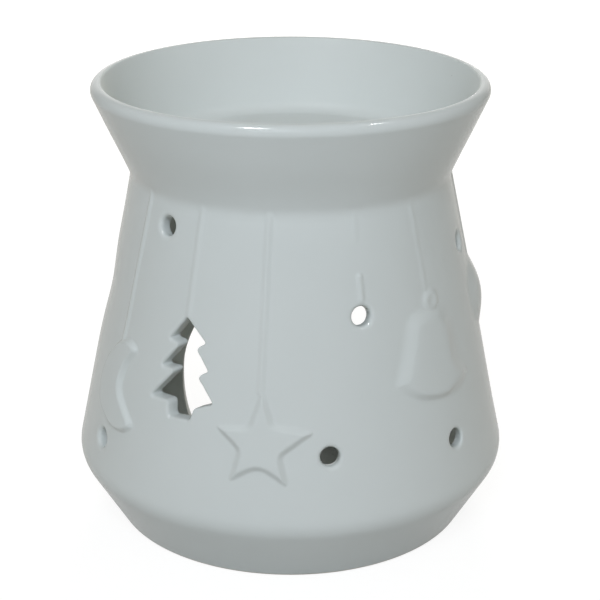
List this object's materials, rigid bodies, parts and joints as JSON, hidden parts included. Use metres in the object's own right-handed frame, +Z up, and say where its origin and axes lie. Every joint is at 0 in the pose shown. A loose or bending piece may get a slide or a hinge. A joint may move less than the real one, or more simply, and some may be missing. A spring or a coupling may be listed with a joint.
{
  "type": "essential oil burner",
  "caption": "Pierced ceramic oil burner: flared oil dish on a waisted pot with raised and cut-out hanging figures, a rear arch and a loose tealight that slides in.",
  "frame": {"origin": "centre of the flat resting face under the pot, on the pot's turned axis", "axes": "+Z up along the pot's axis towards the dish; -Y is the decorated front; +Y is the back with the opening for the tealight; +X is the right side seen from the front"},
  "size_m": [0.1192, 0.1129, 0.1219],
  "materials": {
    "white_glazed_ceramic": "white gloss glaze over cast earthenware",
    "pressed_aluminium_foil": "bright pressed foil",
    "paraffin_wax": "smooth white wax, slightly see-through",
    "tinned_steel": "tinned sheet steel",
    "braided_cotton": "waxed braided cotton"
  },
  "bodies": {
    "burner": {"burner_body": "white_glazed_ceramic"},
    "tealight": {"tealight_cup": "pressed_aluminium_foil", "tealight_wax": "paraffin_wax", "wick_tab": "tinned_steel", "wick": "braided_cotton"}
  },
  "joints": [
    {"name": "tealight_slide", "type": "slide", "parent": "burner", "child": "tealight", "axis": [0, 1, 0], "range_m": [0, 0.075]}
  ]
}
